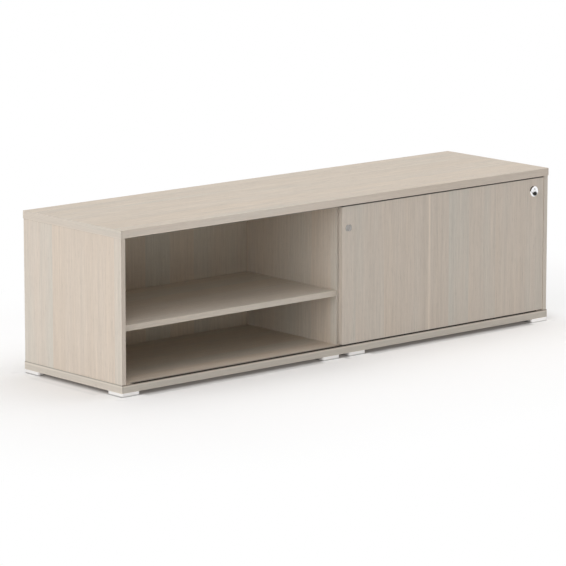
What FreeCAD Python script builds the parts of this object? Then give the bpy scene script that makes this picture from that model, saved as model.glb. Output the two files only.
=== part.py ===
import FreeCAD
import Part
import Sketcher
import os
import re

# Low sideboard on eight square feet: an open bay with a shelf on the left, a closed bay on the
# right behind one sliding door. X runs along the length, Y runs back, Z up. The origin is on the
# floor, under the middle of the case. All sizes are in millimetres.

document = FreeCAD.newDocument("sideboard")

driving = {
    # case
    "caseLength": 1800, "caseDepth": 480, "clearHeight": 448,
    "deckThick": 25, "wallThick": 16, "shelfThick": 18,
    "deckOverhang": 2, "rearOverhang": 1, "deckBand": 2, "thinBand": 1,
    "partitionSetback": 30,
    # shelves
    "shelfTop": 212, "shelfSideGap": 1, "shelfBackGap": 2,
    "pinDiameter": 5, "pinInWall": 7, "pinInBay": 8, "pinFromFront": 60, "pinFromBack": 60,
    # board joints
    "dowelDiameter": 8, "dowelLength": 30, "dowelInDeck": 12, "fitGap": 0.1, "boreEndGap": 0.5,
    "camDiameter": 15, "camDepth": 12.5, "camSetback": 24, "camBore": 7.4,
    "capDiameter": 17, "capThick": 0.8,
    "boltShaft": 5, "boltInDeck": 11, "boltShaftLength": 22, "boltHead": 6.5, "boltHeadLength": 3.5,
    "jointSpacing": 300, "dowelSpacing": 200, "backDowelInner": 240, "backDowelOuter": 720,
    # door
    "doorThick": 18, "doorInset": 3, "doorLift": 3, "doorDrop": 3, "doorEndGap": 1.5, "doorLapShort": 0.5, "doorBand": 2,
    "bufferDiameter": 10, "bufferRunGap": 0.3, "bufferFromDeck": 60,
    # tracks in the two decks
    "trackWide": 10, "trackDeep": 9, "trackWall": 1.5, "trackEndGap": 24,
    "trackLip": 5, "trackLipThick": 1.2,
    # rollers in the bottom edge of the door
    "rollerFromEnd": 90, "rollerRadius": 14, "rollerWide": 5.4, "rollerChamfer": 0.6, "rollerRunGap": 0.3,
    "axleDiameter": 3, "axleRunGap": 0.05, "housingLength": 56, "housingWide": 12, "housingTall": 26,
    "rollerSlotLength": 31, "rollerSlotWide": 6.4, "rollerSlotTall": 20.5,
    # spring guide pins in the top edge of the door
    "sleeveFromEnd": 72, "sleeveDiameter": 12, "sleeveLength": 30, "sleeveLip": 2, "sleeveFloor": 2.5,
    "guideDiameter": 6.4, "guideCollar": 8, "guideCollarLength": 10, "guideRise": 9, "guideTip": 1.2,
    "guideRunGap": 0.05, "guideEndGap": 0.3,
    # finger pull
    "pullFromEdge": 26, "pullFromTop": 70, "pullFlange": 25, "pullFlangeThick": 0.8,
    "pullCup": 22, "pullDepth": 10, "pullWall": 1, "pullRound": 2,
    # push lock
    "lockFromEdge": 46, "lockFromTop": 43, "rosetteDiameter": 35, "rosetteThick": 3.5,
    "rosetteBevel": 1.2, "barrelDiameter": 21, "barrelBeyond": 3, "plungerDiameter": 17,
    "plungerProud": 7, "plungerBody": 4, "plungerBevel": 0.8, "lockRunGap": 0.05,
    "latchDiameter": 8, "latchHidden": 0.5, "barrelFloor": 8, "plungerTravel": 8,
    "plugDiameter": 12, "plugLength": 11, "keySlotWide": 2.2, "keySlotTall": 7.5, "keySlotDeep": 7,
    "nutDiameter": 27, "nutThick": 2.6,
    # strike plate that the latch enters
    "strikeGap": 6, "strikeThick": 2, "strikeHigh": 44, "strikeArm": 64, "strikeLeg": 28, "strikeHole": 9.5,
    "strikeScrewHead": 7, "strikeScrewHeadThick": 1.5, "strikeScrewShank": 3.5, "strikeScrewLength": 11,
    "strikeScrewSpacing": 26, "strikeScrewFromBend": 18,
    # feet
    "footSide": 70, "footHigh": 12, "footRound": 2, "footWall": 3, "footRoof": 3, "footRib": 2.4,
    "footBoss": 16, "footBossRise": 4, "middleFootGap": 40,
    "footScrewHead": 8, "footScrewHeadThick": 2.4, "footScrewShank": 4, "footScrewLength": 18,
}

# Places worked out from the driving sizes, each written once.
worked_out = {
    "deckUnder": "footHigh",
    "floorLevel": "footHigh + deckThick",
    "ceilingLevel": "floorLevel + clearHeight",
    "outerWall": "caseLength / 2 - deckOverhang",
    "innerWall": "outerWall - wallThick",
    "wallMiddle": "outerWall - wallThick / 2",
    "wallFront": "deckOverhang - caseDepth / 2",
    "wallBack": "caseDepth / 2 - rearOverhang",
    "backFront": "wallBack - wallThick",
    "backMiddle": "wallBack - wallThick / 2",
    "partitionFront": "partitionSetback - caseDepth / 2",
    "doorFront": "doorInset - caseDepth / 2",
    "doorBack": "doorFront + doorThick",
    "doorMiddle": "doorFront + doorThick / 2",
    "doorLeft": "doorLapShort - wallThick / 2",
    "doorRight": "innerWall - doorEndGap",
    "doorLength": "doorRight - doorLeft",
    "doorFoot": "floorLevel + doorDrop",
    "doorHead": "ceilingLevel - doorLift",
    "doorHigh": "doorHead - doorFoot",
    "strikeFront": "doorBack + strikeGap",
    "trackEnd": "innerWall - trackEndGap",
    "grooveEnd": "trackEnd - trackLip",
    "channelWide": "trackWide - 2 * trackWall",
    "channelDeep": "trackDeep - trackWall",
    "axleLevel": "floorLevel - channelDeep + rollerRunGap + rollerRadius",
    "lockPlaceX": "doorRight - lockFromEdge",
    "lockPlaceZ": "doorHead - lockFromTop",
    "bayLength": "innerWall - wallThick / 2",
    "shelfUnder": "shelfTop - shelfThick",
    "mortiseLength": "housingLength + fitGap",
    "mortiseWide": "housingWide + fitGap",
}


def expand(text):
    # Turns names into sheet references, so that every size stays bound to the sheet.
    def swap(match):
        name = match.group(0)
        if name in driving:
            return "sizes." + name
        if name in worked_out:
            return "(" + expand(worked_out[name]) + ")"
        return name
    return re.sub(r"[A-Za-z]+", swap, str(text))


def fill_sheet():
    sheet = document.addObject("Spreadsheet::Sheet", "sizes")
    for row, (name, value) in enumerate(driving.items(), start=1):
        sheet.set("A" + str(row), name)
        sheet.set("B" + str(row), str(value))
        sheet.setAlias("B" + str(row), name)
    document.recompute()


def bind(item, values):
    for path, text in values.items():
        item.setExpression(path, expand(text))


def move_to(item, x, y, z):
    bind(item, {"Placement.Base.x": x, "Placement.Base.y": y, "Placement.Base.z": z})


pieces = []


def keep(item, label):
    item.Label = label
    pieces.append(item)
    return item


# Sketches and features of the turned, milled and moulded bodies

def new_body(name):
    return document.addObject("PartDesign::Body", name)


def sketch_on(body, role, offset="0"):
    sketch = body.newObject("Sketcher::SketchObject", body.Name + "Sketch")
    plane = [item for item in body.Origin.OriginFeatures if item.Role == role][0]
    sketch.AttachmentSupport = [(plane, "")]
    sketch.MapMode = "FlatFace"
    bind(sketch, {"AttachmentOffset.Base.z": offset})
    return sketch


def measure(sketch, constraint, text):
    index = sketch.addConstraint(constraint)
    sketch.renameConstraint(index, "size" + str(index))
    sketch.setExpression("Constraints.size" + str(index), expand(text))


def outline(sketch, corners):
    # A closed outline of straight sides through corners given as expressions.
    guess = [FreeCAD.Vector(rough(x), rough(y), 0) for x, y in corners]
    first = sketch.GeometryCount
    count = len(corners)
    for number in range(count):
        side = Part.LineSegment(guess[number], guess[(number + 1) % count])
        sketch.addGeometry(side, False)
    for number in range(count):
        following = first + (number + 1) % count
        sketch.addConstraint(Sketcher.Constraint("Coincident", first + number, 2, following, 1))
    for number, (x, y) in enumerate(corners):
        pin_point(sketch, first + number, 1, x, y, guess[number])


def pin_point(sketch, geometry, end, x, y, guess):
    for kind, text, value in (("DistanceX", x, guess.x), ("DistanceY", y, guess.y)):
        if str(text) == "0":
            axis = -2 if kind == "DistanceX" else -1
            sketch.addConstraint(Sketcher.Constraint("PointOnObject", geometry, end, axis))
        else:
            measure(sketch, Sketcher.Constraint(kind, -1, 1, geometry, end, value), text)


def rough(text):
    # The value of an expression in the driving sizes, used as a sketch's first guess.
    text = str(text)
    while re.search(r"[A-Za-z]", text):
        text = re.sub(r"[A-Za-z]+", lambda match: "(" + str(value_of(match.group(0))) + ")", text)
    return FreeCAD.Units.Quantity(text).Value


def value_of(name):
    return driving[name] if name in driving else worked_out[name]


def rectangle(sketch, left, low, right, high):
    outline(sketch, [(left, low), (right, low), (right, high), (left, high)])


def circle(sketch, x, y, diameter):
    guess = FreeCAD.Vector(rough(x), rough(y), 0)
    curve = Part.Circle(guess, FreeCAD.Vector(0, 0, 1), rough(diameter) / 2)
    index = sketch.addGeometry(curve, False)
    pin_point(sketch, index, 3, x, y, guess)
    measure(sketch, Sketcher.Constraint("Diameter", index, rough(diameter)), diameter)


def slot(sketch, left, right, middle, wide):
    # A slot with round ends, as a cutter leaves it.
    radius = rough(wide) / 2
    level = rough(middle)
    near = FreeCAD.Vector(rough(left) + radius, level, 0)
    far = FreeCAD.Vector(rough(right) - radius, level, 0)
    drop = FreeCAD.Vector(0, radius, 0)
    up = FreeCAD.Vector(0, 0, 1)
    turn = FreeCAD.Units.Quantity("90 deg").getValueAs("rad").Value
    low = sketch.addGeometry(Part.LineSegment(near - drop, far - drop), False)
    round_far = sketch.addGeometry(Part.ArcOfCircle(Part.Circle(far, up, radius), -turn, turn), False)
    high = sketch.addGeometry(Part.LineSegment(far + drop, near + drop), False)
    round_near = sketch.addGeometry(Part.ArcOfCircle(Part.Circle(near, up, radius), turn, 3 * turn), False)
    loop = [low, round_far, high, round_near]
    for number, edge in enumerate(loop):
        following = loop[(number + 1) % len(loop)]
        sketch.addConstraint(Sketcher.Constraint("Tangent", edge, 2, following, 1))
    sketch.addConstraint(Sketcher.Constraint("Horizontal", low))
    sketch.addConstraint(Sketcher.Constraint("Equal", round_far, round_near))
    measure(sketch, Sketcher.Constraint("Radius", round_far, radius), "(" + wide + ") / 2")
    centre_near = "(" + left + ") + (" + wide + ") / 2"
    centre_far = "(" + right + ") - (" + wide + ") / 2"
    pin_point(sketch, round_near, 3, centre_near, middle, near)
    measure(sketch, Sketcher.Constraint("DistanceX", -1, 1, round_far, 3, far.x), centre_far)


def pad(body, sketch, length, backwards=False):
    feature = body.newObject("PartDesign::Pad", body.Name + "Pad")
    feature.Profile = sketch
    feature.Reversed = backwards
    bind(feature, {"Length": length})
    return feature


def pocket(body, sketch, depth, backwards=False):
    # Cuts into the body and makes sure that something was cut.
    document.recompute()
    before = body.Shape.Volume
    feature = body.newObject("PartDesign::Pocket", body.Name + "Pocket")
    feature.Profile = sketch
    feature.Reversed = backwards
    bind(feature, {"Length": depth})
    document.recompute()
    if not body.Shape.Volume < before:
        raise RuntimeError(body.Name + ": a pocket cuts nothing")
    return feature


def turned(body, points):
    # A body of revolution about its own Y axis; points are radius and place along Y.
    sketch = sketch_on(body, "XY_Plane")
    outline(sketch, points)
    feature = body.newObject("PartDesign::Revolution", body.Name + "Turn")
    feature.Profile = sketch
    feature.ReferenceAxis = (sketch, ["V_Axis"])
    feature.Angle = 360
    return feature


# Boards

def board(label, plane, across, along, thick, x, y, z):
    # One board with its corner at its own origin; the plane says which way its face lies.
    body = new_body(label)
    sketch = sketch_on(body, plane)
    rectangle(sketch, "0", "0", across, along)
    pad(body, sketch, thick, backwards=(plane == "XZ_Plane"))
    move_to(body, x, y, z)
    return keep(body, label)


def strip(label, length, wide, high, x, y, z):
    item = document.addObject("Part::Box", label)
    bind(item, {"Length": length, "Width": wide, "Height": high})
    move_to(item, x, y, z)
    return item


def group(label, members):
    item = document.addObject("Part::Compound", label)
    item.Links = members
    return keep(item, label)


def copies(label, prototype, places, rotation=None):
    # The same piece in several places, as one group of separate solids.
    return group(label, [copy_of(prototype, label, place, rotation) for place in places])


def copy_of(prototype, name, place, rotation=None):
    link = document.addObject("App::Link", name + "Copy")
    link.LinkedObject = prototype
    if rotation is not None:
        link.Placement = FreeCAD.Placement(FreeCAD.Vector(), rotation)
    move_to(link, *place)
    return link


turn_about_x = FreeCAD.Rotation(FreeCAD.Vector(1, 0, 0), 180)
lay_along_x = FreeCAD.Rotation(FreeCAD.Vector(0, 1, 0), 90)
lay_against_x = FreeCAD.Rotation(FreeCAD.Vector(0, 1, 0), -90)
lay_along_y = FreeCAD.Rotation(FreeCAD.Vector(1, 0, 0), -90)
lay_against_y = FreeCAD.Rotation(FreeCAD.Vector(1, 0, 0), 90)

# Along X, the walls that meet both decks; along Y, the places of their fittings
uprights = ["-(wallMiddle)", "0", "wallMiddle"]
bolt_rows = ["-(jointSpacing) / 2", "jointSpacing / 2"]
dowel_rows = ["-(dowelSpacing) / 2", "dowelSpacing / 2"]
shelf_pin_rows = ["partitionFront + pinFromFront", "backFront - shelfBackGap - pinFromBack"]
back_dowels = ["-(backDowelOuter)", "-(backDowelInner)", "backDowelInner", "backDowelOuter"]

bolt_places = [(x, y) for x in uprights for y in bolt_rows]
dowel_places = [(x, y) for x in uprights for y in dowel_rows] + [(x, "backMiddle") for x in back_dowels]

foot_columns = [
    "-(caseLength) / 2",
    "-(middleFootGap) / 2 - footSide",
    "middleFootGap / 2",
    "caseLength / 2 - footSide",
]
foot_rows = ["-(caseDepth) / 2", "caseDepth / 2 - footSide"]
foot_places = [(x, y) for x in foot_columns for y in foot_rows]
foot_screw_places = [("(%s) + footSide / 2" % x, "(%s) + footSide / 2" % y) for x, y in foot_places]
screw_shares = [-1, 1]


def deck(label, level, faces_up):
    # Top or bottom deck without its edge bands; its inner face holds the groove and the bores.
    left = "deckBand - caseLength / 2"
    front = "deckBand - caseDepth / 2"
    body = board(label, "XY_Plane", "caseLength - 2 * deckBand", "caseDepth - 2 * deckBand",
                 "deckThick", left, front, level)
    face = "deckThick" if faces_up else "0"

    def local(x, y):
        return "(%s) - (%s)" % (x, left), "(%s) - (%s)" % (y, front)

    groove = sketch_on(body, "XY_Plane", face)
    start, middle = local("-(grooveEnd)", "doorMiddle")
    finish = local("grooveEnd", "0")[0]
    slot(groove, start, finish, middle, "trackWide")
    pocket(body, groove, "trackDeep", backwards=not faces_up)
    threads = sketch_on(body, "XY_Plane", face)
    for x, y in bolt_places:
        circle(threads, *local(x, y), "boltShaft + fitGap")
    pocket(body, threads, "boltInDeck + boreEndGap", backwards=not faces_up)
    dowel_bores = sketch_on(body, "XY_Plane", face)
    for x, y in dowel_places:
        circle(dowel_bores, *local(x, y), "dowelDiameter + fitGap")
    pocket(body, dowel_bores, "dowelInDeck + boreEndGap", backwards=not faces_up)
    if faces_up:
        screw_bores = sketch_on(body, "XY_Plane", "0")
        for x, y in foot_screw_places:
            circle(screw_bores, *local(x, y), "footScrewShank + fitGap")
        depth = "footBossRise + footScrewLength - footHigh + boreEndGap"
        pocket(body, screw_bores, depth, backwards=True)


def deck_bands(label, level):
    # Four glued strips round a deck.
    long_strip = ["caseLength", "deckBand", "deckThick"]
    side_strip = ["deckBand", "caseDepth - 2 * deckBand", "deckThick"]
    left = "-(caseLength) / 2"
    front = "-(caseDepth) / 2"
    group(label, [
        strip(label + "Front", *long_strip, left, front, level),
        strip(label + "Back", *long_strip, left, "caseDepth / 2 - deckBand", level),
        strip(label + "Left", *side_strip, left, front + " + deckBand", level),
        strip(label + "Right", *side_strip, "caseLength / 2 - deckBand", front + " + deckBand", level),
    ])


def upright(label, x, front, back, cams_at):
    # A standing board; cams_at is the place across its thickness from which the cams go in.
    deep = "(%s) - (%s) - thinBand" % (back, front)
    body = board(label, "YZ_Plane", deep, "clearHeight", "wallThick", x, "(%s) + thinBand" % front, "floorLevel")

    def local(y):
        return "(%s) - (%s) - thinBand" % (y, front)

    for level, backwards in (("0", True), ("clearHeight", False)):
        shafts = sketch_on(body, "XY_Plane", level)
        for y in bolt_rows:
            circle(shafts, "wallThick / 2", local(y), "boltHead + fitGap")
        pocket(body, shafts, "camSetback + boltHeadLength", backwards)
        dowel_bores = sketch_on(body, "XY_Plane", level)
        for y in dowel_rows:
            circle(dowel_bores, "wallThick / 2", local(y), "dowelDiameter + fitGap")
        pocket(body, dowel_bores, "dowelLength - dowelInDeck + boreEndGap", backwards)
    cams = sketch_on(body, "YZ_Plane", cams_at)
    for y in bolt_rows:
        for level in ("camSetback", "clearHeight - camSetback"):
            circle(cams, local(y), level, "camDiameter + fitGap")
    pocket(body, cams, "camDepth", backwards=(cams_at == "0"))
    return body


def pin_bores(body, face, front, backwards):
    bores = sketch_on(body, "YZ_Plane", face)
    for y in shelf_pin_rows:
        circle(bores, "(%s) - (%s) - thinBand" % (y, front), "shelfUnder - pinDiameter / 2 - floorLevel",
               "pinDiameter + fitGap")
    pocket(body, bores, "pinInWall + boreEndGap", backwards)


def walls():
    left = upright("left_side_panel", "-(outerWall)", "wallFront", "wallBack", "wallThick")
    pin_bores(left, "wallThick", "wallFront", False)
    right = upright("right_side_panel", "innerWall", "wallFront", "wallBack", "0")
    pin_bores(right, "0", "wallFront", True)
    strike_bores = sketch_on(right, "YZ_Plane", "0")
    for share in screw_shares:
        circle(strike_bores, "strikeFront + strikeScrewFromBend - wallFront - thinBand",
               "lockPlaceZ - floorLevel + (%d) * strikeScrewSpacing / 2" % share,
               "strikeScrewShank + fitGap")
    pocket(right, strike_bores, "strikeScrewLength", backwards=True)
    middle = upright("partition", "-(wallThick) / 2", "partitionFront", "backFront", "wallThick")
    pin_bores(middle, "0", "partitionFront", True)
    pin_bores(middle, "wallThick", "partitionFront", False)
    banding = ["wallThick", "thinBand", "clearHeight"]
    group("upright_edge_bands", [
        strip("leftSideBand", *banding, "-(outerWall)", "wallFront", "floorLevel"),
        strip("rightSideBand", *banding, "innerWall", "wallFront", "floorLevel"),
        strip("partitionBand", *banding, "-(wallThick) / 2", "partitionFront", "floorLevel"),
    ])


def back_board():
    body = board("back_panel", "XZ_Plane", "2 * innerWall", "clearHeight", "wallThick",
                 "-(innerWall)", "backFront", "floorLevel")
    for level, backwards in (("0", True), ("clearHeight", False)):
        dowel_bores = sketch_on(body, "XY_Plane", level)
        for x in back_dowels:
            circle(dowel_bores, "innerWall + (%s)" % x, "wallThick / 2", "dowelDiameter + fitGap")
        pocket(body, dowel_bores, "dowelLength - dowelInDeck + boreEndGap", backwards)


def shelves():
    for label, left in (("open_shelf", "-(innerWall)"), ("closed_shelf", "wallThick / 2")):
        board(label, "XY_Plane", "bayLength - 2 * shelfSideGap",
              "backFront - shelfBackGap - partitionFront - thinBand", "shelfThick",
              "(%s) + shelfSideGap" % left, "partitionFront + thinBand", "shelfUnder")
    banding = ["bayLength - 2 * shelfSideGap", "thinBand", "shelfThick"]
    group("shelf_edge_bands", [
        strip("openShelfBand", *banding, "shelfSideGap - innerWall", "partitionFront", "shelfUnder"),
        strip("closedShelfBand", *banding, "wallThick / 2 + shelfSideGap", "partitionFront", "shelfUnder"),
    ])
    pin = document.addObject("Part::Cylinder", "shelfPin")
    bind(pin, {"Radius": "pinDiameter / 2", "Height": "pinInWall + pinInBay"})
    level = "shelfUnder - pinDiameter / 2"
    starts = ["-(innerWall) - pinInWall", "-(wallThick) / 2 - pinInBay",
              "wallThick / 2 - pinInWall", "innerWall - pinInBay"]
    copies("shelf_pins", pin, [(x, y, level) for x in starts for y in shelf_pin_rows], lay_along_x)


# Fittings that join the boards

def joint_fittings():
    dowel = document.addObject("Part::Cylinder", "dowel")
    bind(dowel, {"Radius": "dowelDiameter / 2", "Height": "dowelLength"})
    below = "floorLevel - dowelInDeck"
    above = "ceilingLevel + dowelInDeck - dowelLength"
    copies("dowels", dowel, [(x, y, z) for x, y in dowel_places for z in (below, above)])

    bolt = stacked_rounds("camBolt", [
        ("boltHead", "boltHeadLength"),
        ("boltShaft", "boltShaftLength + boltInDeck"),
    ])
    reach = "boltHeadLength + boltShaftLength"
    upper = [copy_of(bolt, "upperBolt", (x, y, "ceilingLevel - (%s)" % reach)) for x, y in bolt_places]
    lower = [copy_of(bolt, "lowerBolt", (x, y, "floorLevel + (%s)" % reach), turn_about_x)
             for x, y in bolt_places]
    group("cam_bolts", upper + lower)

    disc = document.addObject("Part::Cylinder", "camDisc")
    bind(disc, {"Radius": "camDiameter / 2", "Height": "camDepth"})
    bore = document.addObject("Part::Cylinder", "camDiscBore")
    bind(bore, {"Radius": "camBore / 2", "Height": "2 * camDiameter"})
    bore.Placement = FreeCAD.Placement(FreeCAD.Vector(), lay_against_y)
    move_to(bore, "0", "camDiameter", "camDepth - wallThick / 2")
    cam = document.addObject("Part::Cut", "cam")
    cam.Base = disc
    cam.Tool = bore
    cap = document.addObject("Part::Cylinder", "camCap")
    bind(cap, {"Radius": "capDiameter / 2", "Height": "capThick"})

    levels = ["floorLevel + camSetback", "ceilingLevel - camSetback"]
    faces = [("-(innerWall)", lay_against_x), ("wallThick / 2", lay_against_x), ("innerWall", lay_along_x)]
    cams = []
    caps = []
    for x, rotation in faces:
        inward = "camDepth" if x == "innerWall" else "-(camDepth)"
        outward = "-(capThick)" if x == "innerWall" else "capThick"
        for y in bolt_rows:
            for z in levels:
                place = ("(%s) + (%s)" % (x, inward), y, z)
                flip = lay_against_x if x == "innerWall" else lay_along_x
                cams.append(copy_of(cam, "wallCam", place, upright_cam(flip)))
                caps.append(copy_of(cap, "wallCap", ("(%s) + (%s)" % (x, outward), y, z), rotation))
    group("cams", cams)
    group("cam_caps", caps)


def upright_cam(rotation):
    # Turns a cam about its own axis first, so that its bore stands upright.
    return rotation.multiply(FreeCAD.Rotation(FreeCAD.Vector(0, 0, 1), 90))


def stacked_rounds(name, rounds):
    # Round lengths on one axis, fused into one solid.
    members = []
    start = "0"
    for number, (diameter, length) in enumerate(rounds):
        item = document.addObject("Part::Cylinder", name + "Round" + str(number))
        bind(item, {"Radius": "(%s) / 2" % diameter, "Height": length})
        move_to(item, "0", "0", start)
        members.append(item)
        start = start + " + " + length
    fused = document.addObject("Part::MultiFuse", name)
    fused.Shapes = members
    return fused


# Door and what it carries

roller_places = ["doorLeft + rollerFromEnd", "doorRight - rollerFromEnd"]
sleeve_places = ["doorLeft + sleeveFromEnd", "doorRight - sleeveFromEnd"]


def door_board():
    body = board("door_panel", "XZ_Plane", "doorLength - 2 * doorBand", "doorHigh - 2 * doorBand", "doorThick",
                 "doorLeft + doorBand", "doorFront", "doorFoot + doorBand")

    def local(x, z):
        return "(%s) - doorLeft - doorBand" % x, "(%s) - doorFoot - doorBand" % z

    mortises = sketch_on(body, "XY_Plane", "0")
    for x in roller_places:
        along = local(x, "0")[0]
        slot(mortises, along + " - mortiseLength / 2", along + " + mortiseLength / 2", "doorThick / 2",
             "mortiseWide")
    pocket(body, mortises, "housingTall - doorBand", backwards=True)
    bores = sketch_on(body, "XY_Plane", "doorHigh - 2 * doorBand")
    for x in sleeve_places:
        circle(bores, local(x, "0")[0], "doorThick / 2", "sleeveDiameter + fitGap")
    pocket(body, bores, "sleeveLength - doorBand + boreEndGap")
    lock_bore = sketch_on(body, "XZ_Plane", "0")
    circle(lock_bore, *local("lockPlaceX", "lockPlaceZ"), "barrelDiameter + fitGap")
    pocket(body, lock_bore, "doorThick")
    pull_bore = sketch_on(body, "XZ_Plane", "0")
    circle(pull_bore, *local("doorLeft + pullFromEdge", "doorHead - pullFromTop"), "pullCup + fitGap")
    pocket(body, pull_bore, "pullDepth + fitGap")


def door_bands():
    # Strips on the four edges; the lower and upper ones are cut out round rollers and guides.
    upright_strip = ["doorBand", "doorThick", "doorHigh"]
    lower = new_body("lowerDoorBand")
    plan = sketch_on(lower, "XY_Plane")
    rectangle(plan, "0", "0", "doorLength - 2 * doorBand", "doorThick")
    pad(lower, plan, "doorBand")
    mortises = sketch_on(lower, "XY_Plane", "0")
    for x in roller_places:
        along = "(%s) - doorLeft - doorBand" % x
        slot(mortises, along + " - mortiseLength / 2", along + " + mortiseLength / 2", "doorThick / 2",
             "mortiseWide")
    pocket(lower, mortises, "doorBand", backwards=True)
    move_to(lower, "doorLeft + doorBand", "doorFront", "doorFoot")
    upper = new_body("upperDoorBand")
    plan = sketch_on(upper, "XY_Plane")
    rectangle(plan, "0", "0", "doorLength - 2 * doorBand", "doorThick")
    pad(upper, plan, "doorBand")
    bores = sketch_on(upper, "XY_Plane", "0")
    for x in sleeve_places:
        circle(bores, "(%s) - doorLeft - doorBand" % x, "doorThick / 2", "sleeveDiameter + fitGap")
    pocket(upper, bores, "doorBand", backwards=True)
    move_to(upper, "doorLeft + doorBand", "doorFront", "doorHead - doorBand")
    group("door_edge_bands", [
        strip("leftDoorBand", *upright_strip, "doorLeft", "doorFront", "doorFoot"),
        strip("rightDoorBand", *upright_strip, "doorRight - doorBand", "doorFront", "doorFoot"),
        lower,
        upper,
    ])


def track(label, level, rotation=None):
    # A moulded channel with closed round ends, let into the groove of its deck. A lip all round
    # lies on the deck and hides the edge of the groove.
    body = new_body(label)
    plan = sketch_on(body, "XY_Plane")
    slot(plan, "-(grooveEnd)", "grooveEnd", "0", "trackWide")
    pad(body, plan, "trackDeep")
    lip = sketch_on(body, "XY_Plane", "trackDeep")
    slot(lip, "-(trackEnd)", "trackEnd", "0", "trackWide + 2 * trackLip")
    pad(body, lip, "trackLipThick")
    channel = sketch_on(body, "XY_Plane", "trackDeep + trackLipThick")
    slot(channel, "trackWall - grooveEnd", "grooveEnd - trackWall", "0", "channelWide")
    pocket(body, channel, "channelDeep + trackLipThick")
    if rotation is not None:
        body.Placement = FreeCAD.Placement(FreeCAD.Vector(), rotation)
    move_to(body, "0", "doorMiddle", level)
    keep(body, label)


def rollers():
    housing = new_body("rollerHousing")
    plan = sketch_on(housing, "XY_Plane")
    slot(plan, "-(housingLength) / 2", "housingLength / 2", "0", "housingWide")
    pad(housing, plan, "housingTall")
    wheel_slot = sketch_on(housing, "XY_Plane", "0")
    rectangle(wheel_slot, "-(rollerSlotLength) / 2", "-(rollerSlotWide) / 2", "rollerSlotLength / 2",
              "rollerSlotWide / 2")
    pocket(housing, wheel_slot, "rollerSlotTall", backwards=True)
    axle_bore = sketch_on(housing, "XZ_Plane", "housingWide / 2")
    circle(axle_bore, "0", "axleLevel - doorFoot", "axleDiameter")
    pocket(housing, axle_bore, "housingWide")
    copies("roller_housings", housing, [(x, "doorMiddle", "doorFoot") for x in roller_places])

    axle = document.addObject("Part::Cylinder", "rollerAxle")
    bind(axle, {"Radius": "axleDiameter / 2", "Height": "housingWide"})
    copies("roller_axles", axle, [(x, "doorMiddle - housingWide / 2", "axleLevel") for x in roller_places],
           lay_along_y)

    for label, x in zip(("left_roller", "right_roller"), roller_places):
        body = new_body(label)
        inner = "axleDiameter / 2 + axleRunGap"
        half = "rollerWide / 2"
        turned(body, [
            (inner, "-(%s)" % half),
            ("rollerRadius - rollerChamfer", "-(%s)" % half),
            ("rollerRadius", "rollerChamfer - (%s)" % half),
            ("rollerRadius", "(%s) - rollerChamfer" % half),
            ("rollerRadius - rollerChamfer", half),
            (inner, half),
        ])
        move_to(body, x, "doorMiddle", "axleLevel")
        keep(body, label)


def guides():
    # Sleeves in the top edge, each with a sprung pin that rises into the upper channel.
    sleeve = new_body("guideSleeve")
    mouth = "guideDiameter / 2 + guideRunGap"
    inside = "guideCollar / 2 + guideRunGap"
    turned(sleeve, [
        ("0", "-(sleeveLength)"),
        ("sleeveDiameter / 2", "-(sleeveLength)"),
        ("sleeveDiameter / 2", "0"),
        (mouth, "0"),
        (mouth, "-(sleeveLip)"),
        (inside, "-(sleeveLip)"),
        (inside, "sleeveFloor - sleeveLength"),
        ("0", "sleeveFloor - sleeveLength"),
    ])
    copies("guide_sleeves", sleeve, [(x, "doorMiddle", "doorHead") for x in sleeve_places], lay_against_y)
    for label, x in zip(("left_guide_pin", "right_guide_pin"), sleeve_places):
        body = new_body(label)
        shoulder = "-(sleeveLip) - guideEndGap"
        turned(body, [
            ("0", shoulder + " - guideCollarLength"),
            ("guideCollar / 2", shoulder + " - guideCollarLength"),
            ("guideCollar / 2", shoulder),
            ("guideDiameter / 2", shoulder),
            ("guideDiameter / 2", "guideRise - guideTip"),
            ("guideDiameter / 2 - guideTip", "guideRise"),
            ("0", "guideRise"),
        ])
        body.Placement = FreeCAD.Placement(FreeCAD.Vector(), lay_against_y)
        move_to(body, x, "doorMiddle", "doorHead")
        keep(body, label)


def buffers():
    pad_disc = document.addObject("Part::Cylinder", "bufferDisc")
    bind(pad_disc, {"Radius": "bufferDiameter / 2", "Height": "doorEndGap - bufferRunGap"})
    places = []
    for x in ("-(innerWall)", "innerWall - doorEndGap + bufferRunGap"):
        for z in ("floorLevel + bufferFromDeck", "ceilingLevel - bufferFromDeck"):
            places.append((x, "doorMiddle", z))
    copies("door_buffers", pad_disc, places, lay_along_x)


def finger_pull():
    # Round cup let into the face of the door, open to the front.
    body = new_body("finger_pull")
    rim = "pullCup / 2 - pullWall"
    turned(body, [
        ("0", "pullDepth"),
        ("pullCup / 2 - pullRound", "pullDepth"),
        ("pullCup / 2", "pullDepth - pullRound"),
        ("pullCup / 2", "0"),
        ("pullFlange / 2", "0"),
        ("pullFlange / 2 - pullFlangeThick / 2", "-(pullFlangeThick)"),
        (rim, "-(pullFlangeThick)"),
        (rim, "pullDepth - pullWall - pullRound"),
        (rim + " - pullRound", "pullDepth - pullWall"),
        ("0", "pullDepth - pullWall"),
    ])
    move_to(body, "doorLeft + pullFromEdge", "doorFront", "doorHead - pullFromTop")
    keep(body, "finger_pull")


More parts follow.
